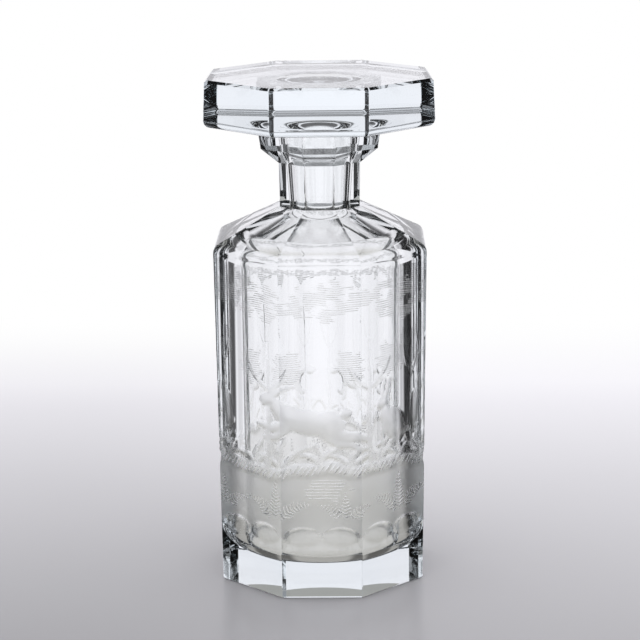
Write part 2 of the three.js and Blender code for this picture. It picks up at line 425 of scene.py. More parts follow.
class Engraving:
    """What is ground into the wall: depth in millimetres, matt finish, and the fine strokes. hatch is the
    strokes' strength, and lines runs across them in millimetres."""

    BLEND = 5  # how sharp the valley is where two hollows meet
    SET_IN = 0.08  # depth over which a hollow's own finish takes over

    def __init__(self, wall):
        self.wall = wall
        self.depth = np.zeros(len(wall.up))
        self.matt = np.zeros(len(wall.up))
        self.hatch = np.zeros(len(wall.up))
        self.lines = wall.up.copy()
        self.everywhere = np.arange(len(wall.up))

    def offsets(self, across, up):
        """How far each point of the wall lies from a place, the short way round."""
        girth = self.wall.girth
        return (self.wall.across - across + girth / 2) % girth - girth / 2, self.wall.up - up

    def sink(self, where, depth, matt):
        """Adds a hollow to the depth, blended softly with what is there."""
        before = self.depth[where]
        self.depth[where] = (before ** self.BLEND + depth ** self.BLEND) ** (1 / self.BLEND)
        cut = np.clip(depth / self.SET_IN, 0, 1)
        self.matt[where] = self.matt[where] * (1 - cut) + matt * cut
        self.hatch[where] *= 1 - cut

    def oval(self, middle, size, depth, matt, bulge, tilt=0.0):
        """An oval hollow. A bulge of 1 gives it a steep rim, and more makes it a shallow scoop."""
        x, y = self.offsets(*middle)
        near = np.nonzero(np.hypot(x, y) < max(size))[0]
        x, y = x[near], y[near]
        turn = math.radians(tilt)
        r2 = ((x * math.cos(turn) + y * math.sin(turn)) / size[0]) ** 2
        r2 += ((y * math.cos(turn) - x * math.sin(turn)) / size[1]) ** 2
        spread2 = 1 - (1 - 1 / bulge) ** 2
        profile = bulge * np.sqrt(np.clip(1 - spread2 * r2, 0, 1)) - (bulge - 1)
        self.sink(near, depth * np.where(r2 < 1, np.clip(profile, 0, 1), 0), matt)

    def along(self, points, reach):
        """Which places lie near a line of points, how far from it, and how far along it."""
        first = points[0]
        x, y = self.offsets(*first)
        spans = np.array(points) - first
        near = np.nonzero(
            (x > spans[:, 0].min() - reach) & (x < spans[:, 0].max() + reach)
            & (y > spans[:, 1].min() - reach) & (y < spans[:, 1].max() + reach))[0]
        place = np.column_stack([x[near], y[near]])
        distance, travel, done = np.full(len(near), np.inf), np.zeros(len(near)), 0.0
        for start, end in zip(spans, spans[1:]):
            run = end - start
            size = np.linalg.norm(run)
            share = np.clip((place - start) @ run / size ** 2, 0, 1)
            away = np.linalg.norm(place - start - share[:, None] * run, axis=1)
            closer = away < distance
            distance = np.where(closer, away, distance)
            travel = np.where(closer, done + share * size, travel)
            done += size
        return near, distance, travel / done, done

    def groove(self, points, widths, depth, matt):
        """A tapering groove along a line of points. widths are half widths at its two ends."""
        near, distance, share, _ = self.along(points, max(widths))
        half = widths[0] + (widths[1] - widths[0]) * share
        profile = np.sqrt(np.clip(1 - (distance / half) ** 2, 0, 1))
        self.sink(near, depth * profile * half / max(widths), matt)

    def strokes(self, where, strength, lines):
        """Fine strokes, where they are stronger than those already there."""
        stronger = strength > self.hatch[where]
        at = where[stronger]
        self.hatch[at] = strength[stronger]
        self.lines[at] = lines[stronger]

    def leaf_clump(self, middle, size, strength, slant=math.radians(3)):
        """A clump of leaves with a ragged edge, as parallel strokes that are nearly level."""
        x, y = self.offsets(*middle)
        near = np.nonzero((abs(x) < size[0]) & (abs(y) < size[1]))[0]
        x, y = x[near], y[near]
        bearing = np.arctan2(y, x) + middle[0]
        ragged = 1 + 0.3 * np.sin(5 * bearing) + 0.25 * np.sin(11 * bearing + middle[1])
        r2 = ((x / size[0]) ** 2 + (y / size[1]) ** 2) * ragged
        lines = y * math.cos(slant) - x * math.sin(slant) + middle[0]
        self.strokes(near, strength * np.clip(1.3 - 1.3 * r2, 0, 1), lines)

    def frond(self, points, width):
        """A fern's frond: a rib with slanting leaflets that shorten towards its tip."""
        near, distance, share, run = self.along(points, width)
        half = width * np.clip(share * 5 - 0.6, 0, 1) * (1 - share) ** 0.6 + 0.01
        strength = 1.05 * np.clip(4 - 4 * distance / half, 0, 1)
        self.strokes(near, strength, 0.6 * share * run - 0.3 * distance)


def bow(start, end, sag, steps=6):
    """Points on a bowed line from start to end."""
    start, end = Vector(start), Vector(end)
    side = Vector((start.y - end.y, end.x - start.x)).normalized() * sag
    shares = [i / steps for i in range(steps + 1)]
    return [tuple(start.lerp(end, t) + side * 4 * t * (1 - t)) for t in shares]


class Figure:
    """Draws a figure round a place on the wall, facing left, or right when mirrored."""

    MATT = 0.75
    BULGE = 1.9
    BODY_DEPTH, LIMB_DEPTH = 0.85, 0.9  # shares of the depths that the figures are given below

    def __init__(self, engraving, middle, scale=1.0, mirrored=False):
        self.engraving = engraving
        self.middle = middle
        self.scale = scale
        self.side = -1 if mirrored else 1

    def place(self, point):
        """Where a point of the figure comes on the wall."""
        return self.middle[0] + self.side * self.scale * point[0], self.middle[1] + self.scale * point[1]

    def body(self, middle, size, depth, tilt=0.0):
        """A rounded mass of the figure. size holds its half length and half height."""
        size = size[0] * self.scale, size[1] * self.scale
        self.engraving.oval(
            self.place(middle), size, depth * self.BODY_DEPTH, self.MATT, self.BULGE, tilt * self.side)

    def limb(self, points, widths, depth):
        """A leg, an ear or a tail along a line of points."""
        widths = [width * self.scale for width in widths]
        self.engraving.groove([self.place(p) for p in points], widths, depth * self.LIMB_DEPTH, self.MATT)


def leaping_hare(figure):
    """A hare at full stretch over the grass."""
    figure.body((0, 0), (13.5, 6.2), 1.0, tilt=-9)
    figure.body((9.5, -1.5), (7.5, 7.2), 1.1, tilt=20)
    figure.body((-9, 2.5), (6.8, 5.8), 0.95, tilt=-20)
    figure.limb([(-12, 4.5), (-16, 8), (-18.5, 9.5)], (4.2, 3.0), 0.8)
    figure.body((-21, 10.2), (5.2, 3.3), 0.9, tilt=12)
    figure.limb([(-18.5, 12), (-13, 16), (-7.5, 17.5)], (1.7, 0.8), 0.5)
    figure.limb([(-19.5, 12.5), (-15.5, 17.5), (-11, 20.5)], (1.6, 0.8), 0.45)
    figure.limb([(-12, -1), (-19, -4), (-27, -2.5)], (2.6, 1.1), 0.6)
    figure.limb([(-10, -2), (-16.5, -7.5), (-24, -9)], (2.4, 1.0), 0.5)
    figure.limb([(11, -5), (18, -7.5), (24, -7), (30, -10)], (3.6, 1.2), 0.7)
    figure.limb([(8, -6), (14, -10.5), (20, -11), (25, -14)], (3.0, 1.1), 0.55)
    figure.body((17.2, 4.2), (3.2, 2.3), 0.6, tilt=35)


def sitting_hare(figure):
    """A hare that sits up and listens."""
    figure.body((1, -1), (8.5, 11), 1.0, tilt=18)
    figure.body((4, -6), (7.4, 6.6), 1.1)
    figure.body((-4.5, 4), (5, 8), 0.9, tilt=12)
    figure.body((-7.5, 13), (5.0, 3.7), 0.9, tilt=14)
    figure.limb([(-5.5, 15.5), (-3.2, 21), (-2.6, 27)], (1.7, 0.9), 0.5)
    figure.limb([(-7.2, 16), (-7.4, 22), (-6.0, 28)], (1.6, 0.9), 0.45)
    figure.limb([(-6, -1), (-7.5, -7), (-7, -12)], (2.4, 1.3), 0.6)
    figure.limb([(-7, -12), (-11, -12.8)], (1.4, 1.1), 0.5)
    figure.limb([(6, -11), (-1, -13)], (2.0, 1.4), 0.6)
    figure.body((11, -7), (3.0, 2.4), 0.6, tilt=30)


def running_fox(figure):
    """A fox on the run, with its tail held level."""
    figure.body((0, 0), (13, 4.6), 0.95, tilt=-4)
    figure.body((9.5, 0), (5.6, 5.2), 0.95, tilt=10)
    figure.body((-9, 0.5), (6, 5), 0.95)
    figure.limb([(-12, 2), (-17, 5.5)], (3.6, 2.6), 0.8)
    figure.body((-19.5, 6.2), (4.2, 3.0), 0.85, tilt=-8)
    figure.limb([(-21, 5.8), (-26, 4.2)], (1.8, 0.8), 0.6)
    figure.limb([(-18.6, 8), (-19.4, 11.4)], (1.4, 0.7), 0.5)
    figure.limb([(-16.9, 8), (-16.4, 11.2)], (1.4, 0.7), 0.45)
    figure.limb([(-10, -3), (-16, -8), (-23, -8.5)], (2.0, 0.9), 0.55)
    figure.limb([(-8, -3), (-11, -9.5), (-16, -12.5)], (2.0, 0.9), 0.5)
    figure.limb([(10, -3), (14.5, -8.5), (21, -9)], (2.6, 0.9), 0.6)
    figure.limb([(8, -3), (9.5, -9.5), (15, -13)], (2.4, 0.9), 0.5)
    figure.limb([(14, 1.5), (21, 4), (29, 2), (35, 3.5)], (1.8, 1.0), 0.6)
    figure.body((26.5, 3), (6.6, 2.6), 0.75, tilt=-4)


# Every figure with its place: millimetres round the wall from the front's middle, and up.
FIGURES = (
    (leaping_hare, (-5, 81), 0.92, False),
    (sitting_hare, (35, 78), 0.72, False),
    (running_fox, (114, 79), 0.85, False),
    (running_fox, (-114, 79), 0.85, True),
    (sitting_hare, (75, 78), 0.8, True),
    (sitting_hare, (-76, 78), 0.8, False),
)

# Every tree: where it stands, how far its top leans over, and how tall it is.
TREES = ((-25, 2, 60), (24, -3, 62), (66, 3, 58), (90, -4, 64), (140, 3, 56), (-134, 4, 58), (-84, 3, 64))

# Stretches of the wall that stay nearly plain, so that the cut edges beside them keep their clear lines.
CALM = ((42, 58), (-58, -42))


def waves(turn, *terms):
    """Waves round the wall, added up. A term is their height, how many go round, and where they begin."""
    return sum(size * np.sin(count * turn + begin) for size, count, begin in terms)


def ground_line(across, girth, height):
    """Height of the matt ground's upper border round the wall."""
    return height + waves(across * math.tau / girth, (1.2, 3, 0.6), (0.8, 7, 2.1), (0.5, 17, 0))


# The matt ground, in millimetres: over how much it fades out at its top, the height that it begins at, and over
# how much it fades in there.
GROUND_TOP_FADE = 0.9
GROUND_FOOT, GROUND_FOOT_FADE = 27.5, 1.5

# The roped border, in millimetres: how far its middle lies below the ground's edge, half its width, the length
# of a twist, its depth, and how much deeper and shallower the twists are.
ROPE_BELOW, ROPE_HALF, ROPE_TWIST = 3.2, 2.7, 3.6
ROPE_DEPTH, TWIST_DEPTH = 0.65, 0.14

# The pond: its middle round the wall and up, half its width and half its height, in millimetres.
POND_MIDDLE, POND_SIZE = (3, 49), (13, 8)


def draw_ground(engraving, height):
    """The matt ground with its roped border, and a pond of level ripples at the front and the back."""
    wall = engraving.wall
    below = ground_line(wall.across, wall.girth, height) - wall.up
    rope = np.exp(-((below - ROPE_BELOW) / ROPE_HALF) ** 4)
    twist = np.sin(math.tau * (round(wall.girth / ROPE_TWIST) * wall.across / wall.girth + 0.17 * below))
    engraving.depth += rope * (ROPE_DEPTH + TWIST_DEPTH * twist)
    engraving.strokes(engraving.everywhere, 0.95 * rope, 0.42 * wall.across - 0.3 * wall.up)
    matt = np.clip(below / GROUND_TOP_FADE + 0.5, 0, 1)
    matt *= np.clip((wall.up - GROUND_FOOT) / GROUND_FOOT_FADE, 0, 1)
    matt *= 1 - 0.3 * rope
    for across in (POND_MIDDLE[0], POND_MIDDLE[0] + wall.girth / 2):
        x, y = engraving.offsets(across, POND_MIDDLE[1])
        pond = np.clip(2.2 - 2.2 * ((x / POND_SIZE[0]) ** 2 + (y / POND_SIZE[1]) ** 2), 0, 1)
        engraving.strokes(engraving.everywhere, 0.85 * pond, wall.up * 0.7)
        matt *= 1 - 0.35 * pond
    engraving.matt = np.maximum(engraving.matt, matt)


# The ferns: how many stand round the wall, and how many degrees their side fronds lean over. A low and a tall
# one follow each other, each with its foot's height, its fronds' reach and half their width, in millimetres.
FERNS = 10
FERN_SPREAD = 58
FERN_SIZES = ((34, 18, 4.6), (33, 23, 5.4))


def draw_ferns(engraving, random):
    """Ferns that fan out all round the matt ground, low and tall ones in turn."""
    girth = engraving.wall.girth
    for i in range(FERNS):
        across = (i + 0.3) / FERNS * girth + random.uniform(-1.5, 1.5)
        foot, reach, width = FERN_SIZES[i % 2]
        for lean in (0, -1, 1):
            bearing = math.radians(lean * FERN_SPREAD + random.uniform(-4, 4))
            size = reach * (1 - 0.1 * abs(lean))
            tip = across + size * math.sin(bearing), foot + size * math.cos(bearing)
            engraving.frond(bow((across + 2.5 * lean, foot), tip, 0.2 * size * lean), width)


# The grass: half widths of a blade at its foot and its tip, its depth, and its finish. Past GRASS_FRONT
# millimetres from the front's middle the tufts stand farther apart.
BLADE_WIDTHS, BLADE_DEPTH, BLADE_MATT = (1.7, 0.9), 0.4, 0.55
GRASS_FRONT = 110


def draw_grass(engraving, random, height):
    """Tufts of three blades that lean over the ground's border, fewer of them at the back."""
    girth = engraving.wall.girth
    across = -girth / 2
    while across < girth / 2:
        across += random.uniform(11, 16) if abs(across) < GRASS_FRONT else random.uniform(18, 26)
        calm = any(first < across < last for first, last in CALM)
        foot = float(ground_line(np.array(across), girth, height)) - random.uniform(0.5, 2.5)
        size = random.uniform(6, 10) * (0.5 if calm else 1)
        for lean in (random.uniform(-1.25, -0.8), random.uniform(0.75, 1.2), random.uniform(-0.5, 0.5)):
            reach = random.uniform(1.3, 1.8) * size
            tip = across + reach * math.sin(lean), foot + reach * math.cos(lean)
            blade = bow((across, foot), tip, math.copysign(0.14 * reach, lean), 5)
            engraving.groove(blade, BLADE_WIDTHS, BLADE_DEPTH, BLADE_MATT)


# The trees: half widths at the two ends and depth, of the trunk, its top and a branch, and the finish of all.
# Leaves grow up to LEAFY millimetres from the front's middle.
TRUNK, TREE_TOP, BRANCH = ((2.2, 1.3), 0.6), ((1.3, 0.7), 0.45), ((1.1, 0.6), 0.4)
TREE_MATT = 0.6
LEAFY = 100
LEAF_STRENGTH = 1.15


def draw_tree(engraving, across, lean, size, random, height):
    """A slim trunk that forks, with leaves in strokes at the ends of its branches, but not at the back."""
    foot = across, height - 3
    fork = across + lean * 0.6, height + size * 0.55
    top = across + lean, height + size * 0.9
    engraving.groove(bow(foot, fork, random.uniform(-1.2, 1.2)), *TRUNK, TREE_MATT)
    engraving.groove(bow(fork, top, random.uniform(-1, 1)), *TREE_TOP, TREE_MATT)
    for side in (-1, 1):
        end = fork[0] + side * random.uniform(7, 11), fork[1] + random.uniform(9, 15)
        engraving.groove(bow(fork, end, -1.6 * side), *BRANCH, TREE_MATT)
        if abs(across) < LEAFY:
            engraving.leaf_clump(end, (random.uniform(7.0, 9.0), random.uniform(8.5, 10.5)), LEAF_STRENGTH)


def draw_canopy(engraving, height):
    """The canopy of level strokes under the shoulder, with a ragged lower edge."""
    wall = engraving.wall
    turn = wall.across * math.tau / wall.girth
    middle = height + waves(turn, (1.5, 5, 0.4))
    half = 8.2 + waves(turn, (2.6, 9, 1.0), (1.6, 23, 0))
    strength = np.clip(1.25 - ((wall.up - middle) / half) ** 4, 0, 1)
    patches = 0.8 + 0.28 * np.sin(17 * turn + wall.up * 0.35) * np.sin(31 * turn - wall.up * 0.2)
    engraving.strokes(engraving.everywhere, strength * patches, wall.up + waves(turn, (0.5, 13, 0)))


CUT_MATT, CUT_BULGE = 0.5, 1.2


def draw_thumb_cuts(engraving, sizes):
    """The row of shallow ovals above the foot, ground over everything else."""
    wall, margin = engraving.wall, sizes.cut_margin / MM
    for start, run in zip(wall.face_starts, wall.lengths):
        width = (run - 2 * margin) / sizes.cuts_per_face
        for i in range(sizes.cuts_per_face):
            middle = start + margin + (i + 0.5) * width, sizes.cut_middle / MM
            size = width / 2, sizes.cut_height / MM / 2
            engraving.oval(middle, size, sizes.cut_depth / MM, CUT_MATT, CUT_BULGE)


def part_strokes(engraving, verts, faces):
    """Leaves a clear gap wherever strokes of two runs meet, which is where the run jumps along an edge."""
    index = {vert: i for i, vert in enumerate(verts)}
    edges = {edge for face in faces for edge in face.edges}
    pairs = np.array([[index[vert] for vert in edge.verts] for edge in edges])
    spans = np.array([edge.calc_length() for edge in edges]) / MM
    steady = 1.4 * spans + 0.2
    jumps = abs(np.diff(engraving.lines[pairs], axis=1)[:, 0]) > steady
    engraving.hatch[pairs[jumps].ravel()] = 0


WALL_RIM = 1.5  # millimetres over which the engraving fades out at the fine mesh's two ends


def engrave(bm, faces, shape, sizes):
    """Grinds the whole engraving into the wall's fine faces."""
    verts = list({vert for face in faces for vert in face.verts})
    points = np.array([vert.co[:] for vert in verts])
    s = shape.sizes
    wall = UnrolledWall(points, eight_corners(s.foot_across, s.front_width, shape.stretch))
    engraving = Engraving(wall)
    random = np.random.RandomState(sizes.seed)
    ground = sizes.ground_height / MM
    draw_ground(engraving, ground)
    draw_ferns(engraving, random)
    draw_canopy(engraving, sizes.canopy_height / MM)
    for across, lean, size in TREES:
        draw_tree(engraving, across, lean, size, random, ground)
    draw_grass(engraving, random, ground)
    for draw, middle, scale, mirrored in FIGURES:
        draw(Figure(engraving, middle, scale, mirrored))
    draw_thumb_cuts(engraving, sizes)
    part_strokes(engraving, verts, faces)
    margin = np.minimum(wall.up - sizes.low / MM, sizes.high / MM - wall.up)
    fade = np.clip(margin / WALL_RIM, 0, 1)
    moved = points[:, :2] - wall.normals * (engraving.depth * fade * MM)[:, None]
    matt, hatch, lines = (bm.verts.layers.float[name] for name in ENGRAVED_LAYERS)
    unrolled = bm.verts.layers.float_vector[UNROLLED_LAYER]
    for i, vert in enumerate(verts):
        vert.co.x, vert.co.y = moved[i]
        vert[matt] = engraving.matt[i] * fade[i]
        vert[hatch] = engraving.hatch[i] * fade[i]
        vert[lines] = engraving.lines[i] * MM
        vert[unrolled] = (wall.across[i] * MM, wall.up[i] * MM, 0)


class NodeSheet:
    """Adds nodes to a node tree and joins them in short calls."""

    def __init__(self, tree):
        self.tree = tree

    def add(self, kind, inputs=(), **settings):
        """A node with its settings. inputs gives sockets a value, or links another node's output to them."""
        node = self.tree.nodes.new(kind)
        for name, value in settings.items():
            setattr(node, name, value)
        for socket, value in dict(inputs).items():
            if isinstance(value, bpy.types.NodeSocket):
                self.tree.links.new(value, node.inputs[socket])
            else:
                node.inputs[socket].default_value = value
        return node

    def math(self, operation, *values, clamp=False):
        """Arithmetic on values or outputs."""
        return self.add("ShaderNodeMath", enumerate(values), operation=operation, use_clamp=clamp).outputs[0]

    def ramp(self, value, low, high, out_low=0.0, out_high=1.0, smooth=True):
        """Goes from out_low to out_high while the value goes from low to high."""
        return self.add(
            "ShaderNodeMapRange",
            {"Value": value, "From Min": low, "From Max": high, "To Min": out_low, "To Max": out_high},
            interpolation_type="SMOOTHSTEP" if smooth else "LINEAR").outputs[0]

    def mix(self, factor, a, b):
        """A blend of two values."""
        return self.add("ShaderNodeMix", {0: factor, 2: a, 3: b}, data_type="FLOAT").outputs[0]

    def mix_colours(self, factor, a, b, blend="MIX"):
        """A blend of two colours."""
        sockets = {0: factor, 6: a, 7: b}
        return self.add("ShaderNodeMix", sockets, data_type="RGBA", blend_type=blend).outputs[2]


def glass_material(name, finish):
    """Clear polished crystal, faintly blue-green through its thickness."""
    material = bpy.data.materials.new(name)
    material.use_nodes = True
    tree = material.node_tree
    shader = tree.nodes["Principled BSDF"]
    shader.inputs["Base Color"].default_value = (*finish.colour, 1)
    shader.inputs["IOR"].default_value = finish.ior
    shader.inputs["Transmission Weight"].default_value = 1
    shader.inputs["Roughness"].default_value = 0
    body = tree.nodes.new("ShaderNodeVolumeAbsorption")
    body.inputs["Color"].default_value = (*finish.depth_colour, 1)
    body.inputs["Density"].default_value = finish.depth_density
    tree.links.new(body.outputs[0], tree.nodes["Material Output"].inputs["Volume"])
    return material


# The engraved strokes. Breaks interrupt them, so many to a metre round the wall and up it, and cut the deeper
# the weaker the strokes are drawn: BREAK_DEPTH is set against a wave from -1 to 1.
BREAKS_PER_METRE = (150, 520, 1)
BREAK_DEPTH = 1.3
UNBROKEN = 1.35  # strength at which no break would be left
STRENGTH_GAIN = 2.5  # how much wider a stroke gets as it is drawn more strongly
STROKE_EDGE = 0.7  # how soft a stroke's sides are
STROKE_DEPTH = 0.00045

# The finish, as shares of the fully matt ground's roughness and of a stroke's depth.
STROKE_POLISH = 0.8  # taken off the matt ground by a stroke
CLEAR_STROKE = 0.25  # left by a stroke in clear glass
GRAINS_PER_METRE = 900
GRAIN_DEPTH = 0.16


def engraved_glass_material(name, finish, sizes):
    """The same crystal with the matt ground and the fine strokes of the engraving."""
    material = glass_material(name, finish)
    tree = material.node_tree
    sheet = NodeSheet(tree)
    matt, hatch, lines = (
        sheet.add("ShaderNodeAttribute", attribute_name=layer).outputs["Fac"] for layer in ENGRAVED_LAYERS)
    unrolled = sheet.add("ShaderNodeAttribute", attribute_name=UNROLLED_LAYER).outputs["Vector"]
    stretched = sheet.add(
        "ShaderNodeVectorMath", {0: unrolled, 1: BREAKS_PER_METRE}, operation="MULTIPLY").outputs[0]
    breaks = sheet.add("ShaderNodeTexNoise", {"Vector": stretched, "Scale": 1, "Detail": 2}).outputs[0]
    wave = sheet.math("SINE", sheet.math("MULTIPLY", lines, math.tau / sizes.stroke_pitch))
    cuts = sheet.ramp(breaks, 0.3, 0.7, -BREAK_DEPTH, BREAK_DEPTH, smooth=False)
    gaps = sheet.math("MULTIPLY", cuts, sheet.math("SUBTRACT", UNBROKEN, hatch))
    weight = sheet.math("MULTIPLY_ADD", hatch, STRENGTH_GAIN, -STRENGTH_GAIN)
    present = sheet.math("ADD", sheet.math("ADD", wave, gaps), weight)
    stroke = sheet.math("MULTIPLY", sheet.ramp(present, 0.0, STROKE_EDGE), sheet.ramp(hatch, 0.02, 0.15))
    grain = sheet.add(
        "ShaderNodeTexNoise", {"Vector": unrolled, "Scale": GRAINS_PER_METRE, "Detail": 3}).outputs[0]
    ground = sheet.math("MULTIPLY", matt, sheet.ramp(grain, 0.2, 0.8, 0.75, 1.15, smooth=False))
    polished = sheet.math("MULTIPLY", ground, sheet.math("MULTIPLY_ADD", stroke, -STROKE_POLISH, 1.0))
    on_clear = sheet.math("MULTIPLY", stroke, sheet.math("SUBTRACT", 1.0, matt))
    share = sheet.math("MULTIPLY_ADD", on_clear, CLEAR_STROKE, polished, clamp=True)
    shader = tree.nodes["Principled BSDF"]
    tree.links.new(sheet.math("MULTIPLY", share, finish.matt_roughness), shader.inputs["Roughness"])
    height = sheet.math("MULTIPLY_ADD", stroke, -1.0, sheet.math("MULTIPLY", ground, -GRAIN_DEPTH))
    bump = sheet.add("ShaderNodeBump", {"Height": height, "Distance": STROKE_DEPTH, "Strength": 1.0})
    tree.links.new(bump.outputs[0], shader.inputs["Normal"])
    return material


class DECANTER_OT_bottle(bpy.types.Operator):
    """Builds the bottle with its round hollow and its engraved wall"""
    bl_idname = "decanter.bottle"
    bl_label = "Bottle"

    def execute(self, context):
        scene = context.scene
        sizes, engraving = scene.decanter_bottle, scene.decanter_engraving
        shape = BottleShape(sizes)
        bm = bmesh.new()
        for name in ENGRAVED_LAYERS:
            bm.verts.layers.float.new(name)
        bm.verts.layers.float_vector.new(UNROLLED_LAYER)
        loops = stack_rings(bm, wall_rings(shape, engraving))
        bmesh.ops.contextual_create(bm, geom=loops[0])
        keep_ridges_sharp(bm)
        engrave(bm, refine_wall(bm, engraving), shape, engraving)
        add_round_part(bm, shape.hollow())
        close_between(bm, shape.lip_top)
        material = engraved_glass_material("bottle_crystal", scene.decanter_glass, engraving)
        finish_piece(bm, "bottle_glass", "bottle", "bottle", material)
        return {"FINISHED"}


class DECANTER_OT_stopper(bpy.types.Operator):
    """Builds the stopper: an eight-sided slab on a tapered round plug"""
    bl_idname = "decanter.stopper"
    bl_label = "Stopper"

    def execute(self, context):
        scene = context.scene
        s, shape = scene.decanter_stopper, BottleShape(scene.decanter_bottle)
        foot = shape.lip_top + s.clearance
        top = foot + s.thickness
        stretch = corner_stretch(s.top_across, s.front_width, s.side_width)
        turned = Matrix.Rotation(s.turn, 2)

        def narrowed(point):
            """The point moved inwards as the slab narrows towards its back."""
            share = max(0.0, point.y + s.side_width / 2) / s.foot_across
            return Vector((point.x * (1 - s.narrowing * share), point.y))

        def ring(height, inset=0.0):
            """The slab's outline at a height, with that height."""
            share = (height - foot) / s.thickness
            across = s.foot_across + (s.top_across - s.foot_across) * share
            outline = ridged(eight_corners(across, s.front_width, stretch, inset), s.ridge_width)
            return [turned @ narrowed(point) for point in outline], height

        rings = [
            ring(foot + s.foot_rounding * (1 - math.cos(a)), s.foot_rounding * (1 - math.sin(a)))
            for a in quarter_turn(FACED_ARC_STEPS)]
        rings += [ring(top - s.top_bevel), ring(top, s.top_bevel)]
        bm = bmesh.new()
        loops = stack_rings(bm, rings)
        bmesh.ops.contextual_create(bm, geom=loops[-1])
        keep_ridges_sharp(bm)
        end = foot - s.plug_length
        radius = shape.bore_top - s.clearance
        shaft = rounded([
            (0, end, 0),
            (shape.bore_radius(end) - s.clearance, end, s.plug_end_rounding),
            (radius, shape.mouth_foot, 0)])
        cove = quarter_flare(radius, shape.mouth_foot, foot - shape.mouth_foot)
        add_round_part(bm, shaft + cove[1:])
        close_between(bm, foot)
        material = glass_material("stopper_crystal", scene.decanter_glass)
        finish_piece(bm, "stopper_glass", "stopper", "stopper", material)
        return {"FINISHED"}


# Over which numbers of reflections inside the glass a dark card sets in.
ONCE, TWICE, OFTEN, MANY = (0.5, 0.9), (1.2, 1.8), (2.4, 4.4), (3.0, 6.0)

# The dark cards round the studio, which only rays from the glass meet. Each has the bearings in degrees that
# it lies between, the sine of the elevation that it ends at, when it sets in, and its darkness.
DARK_CARDS = (
    ((-60, 60), 0.4, ONCE, 0.08),
    ((31, 72), 0.05, ONCE, 0.99),
    ((74, 84), 0.05, ONCE, 0.5),
    ((-84, -68), 0.05, ONCE, 0.25),
    ((-60, -27), 0.05, ONCE, 0.9),
    ((118, 150), 0.05, ONCE, 0.7),
    ((-150, -118), 0.05, ONCE, 0.7),
    ((158, 190), 0.12, TWICE, 0.93),
    ((-190, -158), 0.12, TWICE, 0.93),
    ((62, 190), 0.17, OFTEN, 1.0),
    ((-190, -62), 0.17, OFTEN, 1.0),
    ((-190, 118), 1.0, MANY, 1.0),
    ((118, 176), 0.22, MANY, 1.0),
    ((176, 190), 1.0, MANY, 1.0),
)
CARD_SIDE = 5.0  # half the degrees over which a card's sides fade
CARD_TOP = 0.05  # sine over which its top fades

# A card on the left and one on the right that only the glass's outer surface mirrors: their bearings, the
# degrees over which their sides fade, and their darkness.
OUTER_CARDS, OUTER_SIDE, OUTER_DARKNESS = (67, 122), 13, 0.85


def sector(sheet, azimuth, bearings, edge):
    """1 between two bearings in degrees and 0 outside them, with soft edges."""
    first, last = bearings
    rise = sheet.ramp(azimuth, math.radians(first - edge), math.radians(first + edge))
    fall = sheet.ramp(azimuth, math.radians(last - edge), math.radians(last + edge), 1.0, 0.0)
    return sheet.math("MULTIPLY", rise, fall)


def glass_light(sheet, direction, path):
    """How bright the studio is to a ray from the glass, by where it goes and how often it was reflected."""
    x, y, z = sheet.add("ShaderNodeSeparateXYZ", {0: direction}).outputs
    azimuth = sheet.math("ARCTAN2", x, y)
    outside = sheet.ramp(path.outputs["Transmission Depth"], 0.5, 0.9, 1.0, 0.0, smooth=False)
    beside = sector(sheet, sheet.math("ABSOLUTE", azimuth), OUTER_CARDS, OUTER_SIDE)
    aside = sheet.math("MULTIPLY", beside, OUTER_DARKNESS)
    light = sheet.math("SUBTRACT", 1.0, sheet.math("MULTIPLY", outside, aside))
    for bearings, top, (few, many), darkness in DARK_CARDS:
        below = sheet.ramp(z, top, top + CARD_TOP, 1.0, 0.0)
        place = sheet.math("MULTIPLY", sector(sheet, azimuth, bearings, CARD_SIDE), below)
        strength = sheet.ramp(path.outputs["Glossy Depth"], few, many, 0.0, darkness, smooth=False)
        left = sheet.math("SUBTRACT", 1.0, sheet.math("MULTIPLY", place, strength))
        light = sheet.math("MULTIPLY", light, left)
    return light


def from_glass(sheet, path):
    """1 for a ray that the glass sends on, and 0 for one straight from the camera."""
    return sheet.math("MAXIMUM", path.outputs["Is Transmission Ray"], path.outputs["Is Glossy Ray"])


def tinted(sheet, brightness, colour):
    """The brightness as a tinted grey."""
    grey = sheet.add("ShaderNodeCombineColor", {0: brightness, 1: brightness, 2: brightness}).outputs[0]
    return sheet.mix_colours(1.0, grey, colour, "MULTIPLY")


WHITE = (1, 1, 1, 1)
TABLE_TINT = (0.99, 0.975, 1.03, 1)
SURROUND_TINT = (0.985, 0.975, 1.02, 1)  # of what the glass shows of the studio
NEAR_TINT = (1.01, 0.985, 0.94, 1)  # and of the table close to the foot
NEAR_FOOT = (0.07, 0.28)  # distances from the middle over which the foot's shade on the table ends
SENSOR_WIDTH = 36  # millimetres
TABLE_REACH = 20
TABLE_ROUGHNESS = 0.25
BOUNCES, GLOSSY_BOUNCES = 32, 16


